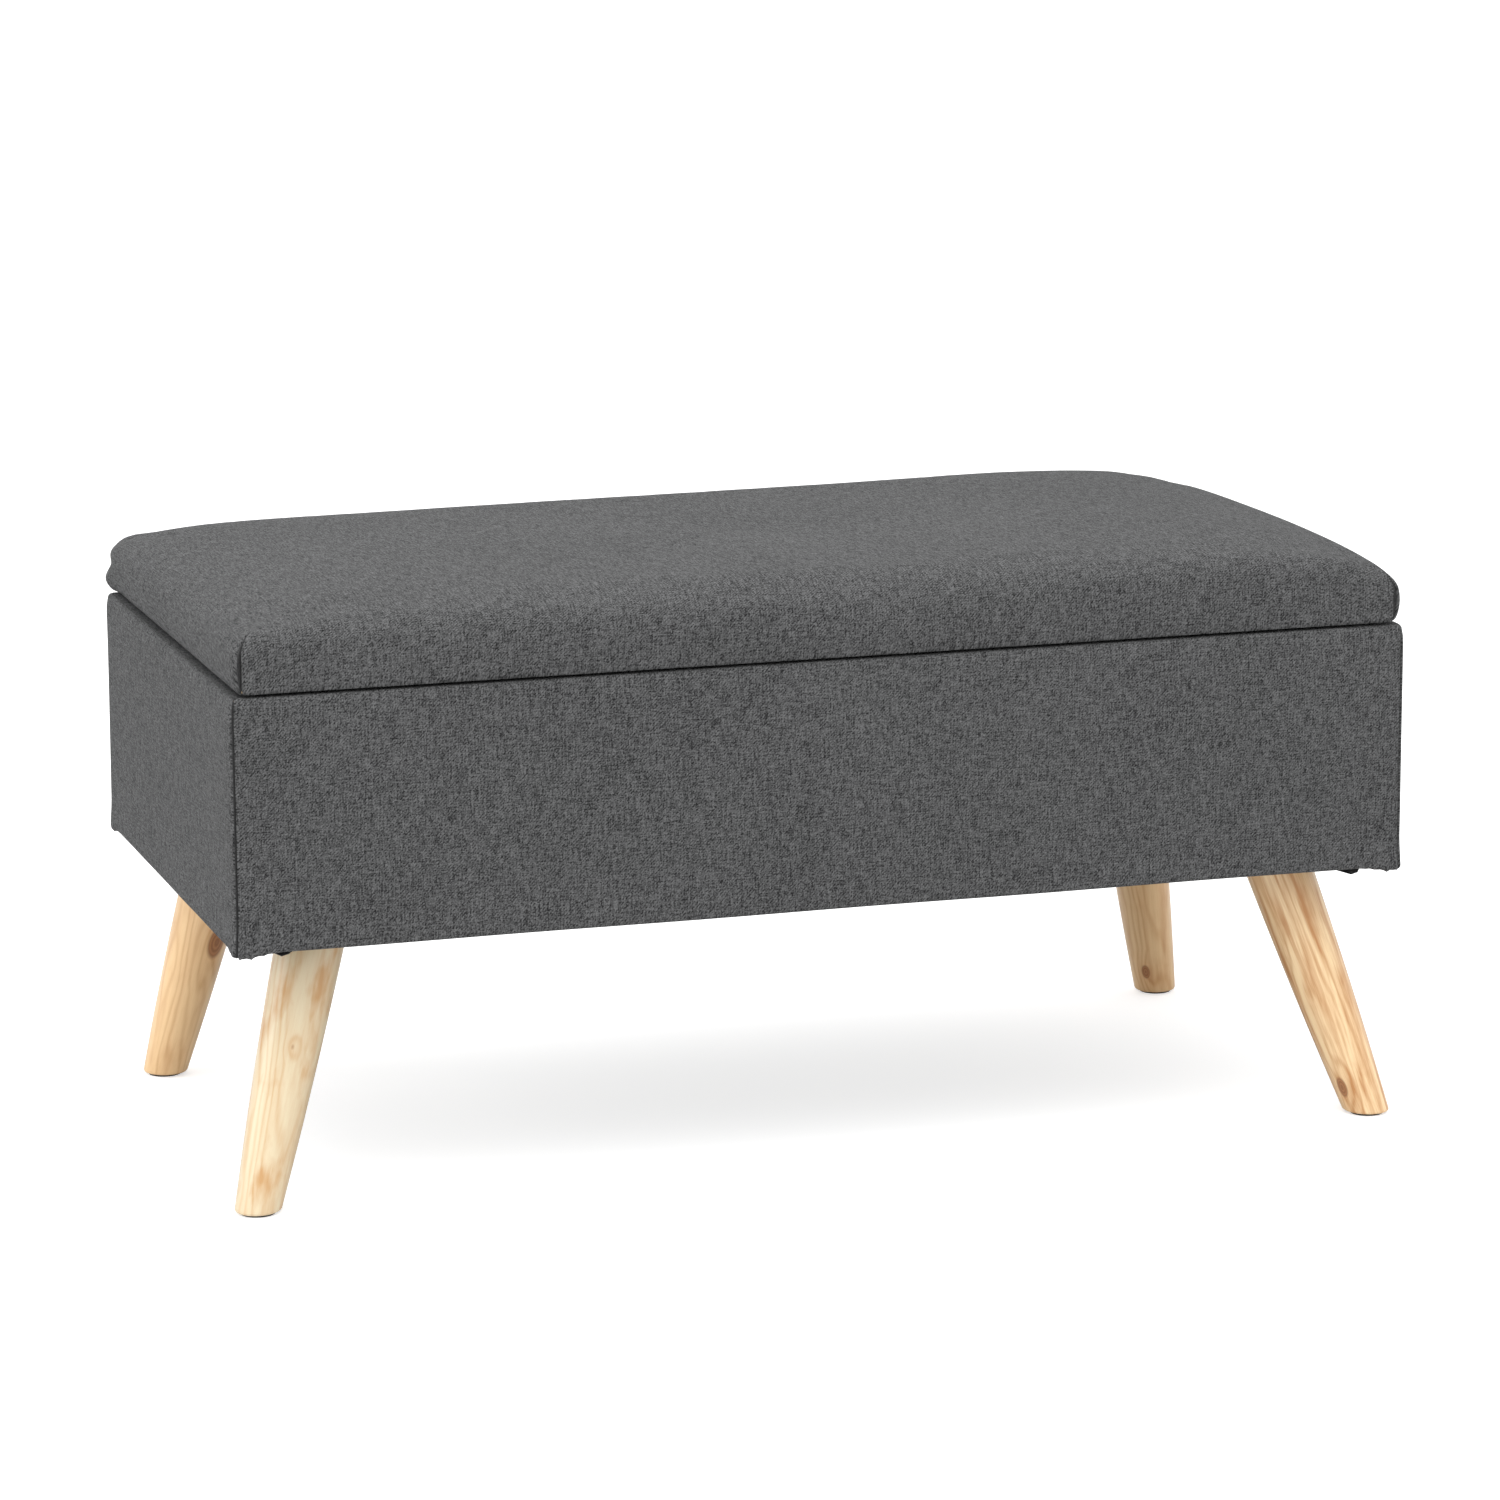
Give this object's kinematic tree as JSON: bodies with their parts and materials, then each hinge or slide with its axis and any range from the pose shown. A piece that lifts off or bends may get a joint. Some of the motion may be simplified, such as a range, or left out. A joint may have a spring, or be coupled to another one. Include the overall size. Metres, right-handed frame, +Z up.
{
  "type": "storage bench",
  "caption": "Upholstered storage bench: a rectangular fabric-covered box with a hinged, crowned padded lid, standing on round tapered splayed wooden legs.",
  "frame": {"origin": "on the floor, at the centre of the bench's outline seen from above", "axes": "+X along the length of the bench, to the right seen from the front; the front faces -Y; +Z up"},
  "size_m": [0.9232, 0.467, 0.455],
  "materials": {
    "particle_board": "raw board",
    "plywood": "raw plywood",
    "softwood": "sawn softwood",
    "grey_fabric": "heathered dark grey twill",
    "lining_cloth": "black non-woven cloth",
    "black_cloth": "black non-woven cloth",
    "foam": "open-cell foam",
    "black_plastic": "black moulded plastic",
    "zinc_plated_steel": "zinc plated",
    "fastener_steel": "plated",
    "leg_front_left_wood": "natural lacquered",
    "leg_front_right_wood": "natural lacquered",
    "leg_rear_left_wood": "natural lacquered",
    "leg_rear_right_wood": "natural lacquered"
  },
  "bodies": {
    "box": {"front_panel": "particle_board", "back_panel": "particle_board", "left_panel": "particle_board", "right_panel": "particle_board", "bottom_panel": "plywood", "corner_block_front_left": "softwood", "corner_block_front_right": "softwood", "corner_block_rear_left": "softwood", "corner_block_rear_right": "softwood", "front_rail": "softwood", "rear_rail": "softwood", "left_rail": "softwood", "right_rail": "softwood", "centre_rail": "softwood", "body_cover": "grey_fabric", "storage_lining": "lining_cloth", "dust_cover": "black_cloth", "panel_screws": "fastener_steel", "dust_cover_staples": "fastener_steel", "leg_front_left": "leg_front_left_wood", "leg_front_right": "leg_front_right_wood", "leg_rear_left": "leg_rear_left_wood", "leg_rear_right": "leg_rear_right_wood", "leg_bolts": "fastener_steel", "leg_tee_nuts": "fastener_steel", "foot_glides": "black_plastic", "hinge_box_leaf_left": "zinc_plated_steel", "hinge_box_leaf_right": "zinc_plated_steel", "hinge_pin_left": "zinc_plated_steel", "hinge_pin_right": "zinc_plated_steel", "hinge_box_screws": "zinc_plated_steel", "stay_wall_bracket_left": "zinc_plated_steel", "stay_wall_bracket_right": "zinc_plated_steel", "stay_wall_screws": "zinc_plated_steel"},
    "lid": {"lid_board": "particle_board", "lid_foam": "foam", "lid_cover": "grey_fabric", "lid_lining": "black_cloth", "lid_staples": "fastener_steel", "hinge_lid_leaf_left": "zinc_plated_steel", "hinge_lid_leaf_right": "zinc_plated_steel", "hinge_lid_screws": "zinc_plated_steel", "stay_lid_bracket_left": "zinc_plated_steel", "stay_lid_bracket_right": "zinc_plated_steel", "stay_lid_screws": "zinc_plated_steel"},
    "left_stay_arm": {"stay_arm_left": "zinc_plated_steel"},
    "right_stay_arm": {"stay_arm_right": "zinc_plated_steel"},
    "left_stay_link": {"stay_link_left": "zinc_plated_steel"},
    "right_stay_link": {"stay_link_right": "zinc_plated_steel"}
  },
  "joints": [
    {"name": "lid_hinge", "type": "hinge", "parent": "box", "child": "lid", "pos_m": [0, 0.23, 0.3922], "axis": [-1, 0, 0], "range_deg": [0, 95]},
    {"name": "left_stay_pivot", "type": "hinge", "parent": "box", "child": "left_stay_arm", "pos_m": [-0.4395, 0.196, 0.3062], "axis": [-1, 0, 0], "range_deg": [0, 95]},
    {"name": "left_stay_elbow", "type": "hinge", "parent": "left_stay_arm", "child": "left_stay_link", "pos_m": [-0.4372, 0.00704, 0.28634], "axis": [-1, 0, 0], "range_deg": [-95, 0]},
    {"name": "right_stay_pivot", "type": "hinge", "parent": "box", "child": "right_stay_arm", "pos_m": [0.4395, 0.196, 0.3062], "axis": [-1, 0, 0], "range_deg": [0, 95]},
    {"name": "right_stay_elbow", "type": "hinge", "parent": "right_stay_arm", "child": "right_stay_link", "pos_m": [0.4372, 0.00704, 0.28634], "axis": [-1, 0, 0], "range_deg": [-95, 0]}
  ],
  "couplings": [
    {"joint": "left_stay_pivot", "follows": "lid_hinge", "ratio": 1},
    {"joint": "left_stay_elbow", "follows": "lid_hinge", "ratio": -1},
    {"joint": "right_stay_pivot", "follows": "lid_hinge", "ratio": 1},
    {"joint": "right_stay_elbow", "follows": "lid_hinge", "ratio": -1}
  ]
}
